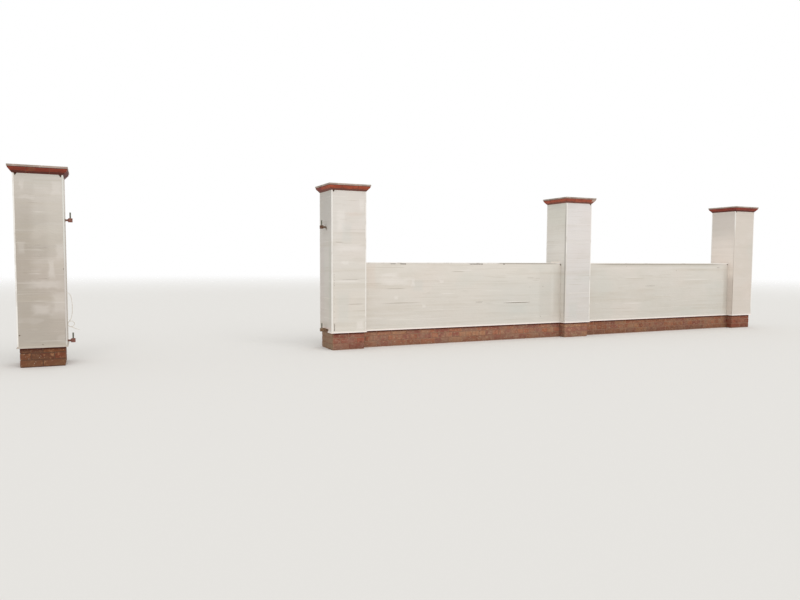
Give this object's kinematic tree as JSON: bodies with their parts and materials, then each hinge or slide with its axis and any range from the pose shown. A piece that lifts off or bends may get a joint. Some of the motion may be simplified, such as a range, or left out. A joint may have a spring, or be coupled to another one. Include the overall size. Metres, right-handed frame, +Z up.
{
  "type": "rendered garden wall",
  "caption": "Low brick garden wall with a cream base coat of render, square brick piers with red canted caps, and a gateway with hinge hooks for a pair of gates.",
  "frame": {"origin": "on the ground under the middle of the whole wall's box, between the left gate pier and the end pier", "axes": "+X along the wall from the gateway to the far end, +Y from the front of the wall to its back, +Z up"},
  "size_m": [11.63, 0.58, 2.177],
  "materials": {
    "brick": "matt fired clay with sand and cement mortar",
    "render": "floated cement base coat",
    "bead": "white extruded plastic",
    "cap_brick": "smooth red fired clay",
    "cap_slab": "weathered cast slab",
    "hook_steel": "rusted steel with a bare pin",
    "cable": "white plastic sheath"
  },
  "bodies": {
    "root": {"left_gate_pier_brickwork": "brick", "left_gate_pier_render": "render", "left_gate_pier_corner_beads": "bead", "left_gate_pier_bell_bead": "bead", "left_gate_pier_cap_course": "cap_brick", "left_gate_pier_cap_slab": "cap_slab", "left_gate_pier_lower_hook": "hook_steel", "left_gate_pier_upper_hook": "hook_steel", "right_gate_pier_brickwork": "brick", "right_gate_pier_render": "render", "right_gate_pier_corner_beads": "bead", "right_gate_pier_bell_bead": "bead", "right_gate_pier_cap_course": "cap_brick", "right_gate_pier_cap_slab": "cap_slab", "right_gate_pier_lower_hook": "hook_steel", "right_gate_pier_upper_hook": "hook_steel", "middle_pier_brickwork": "brick", "middle_pier_render": "render", "middle_pier_corner_beads": "bead", "middle_pier_bell_bead": "bead", "middle_pier_cap_course": "cap_brick", "middle_pier_cap_slab": "cap_slab", "end_pier_brickwork": "brick", "end_pier_render": "render", "end_pier_corner_beads": "bead", "end_pier_bell_bead": "bead", "end_pier_cap_course": "cap_brick", "end_pier_cap_slab": "cap_slab", "first_bay_brickwork": "brick", "first_bay_render": "render", "first_bay_top_beads": "bead", "first_bay_bell_beads": "bead", "second_bay_brickwork": "brick", "second_bay_render": "render", "second_bay_top_beads": "bead", "second_bay_bell_beads": "bead", "cable_tail": "cable"}
  },
  "joints": []
}
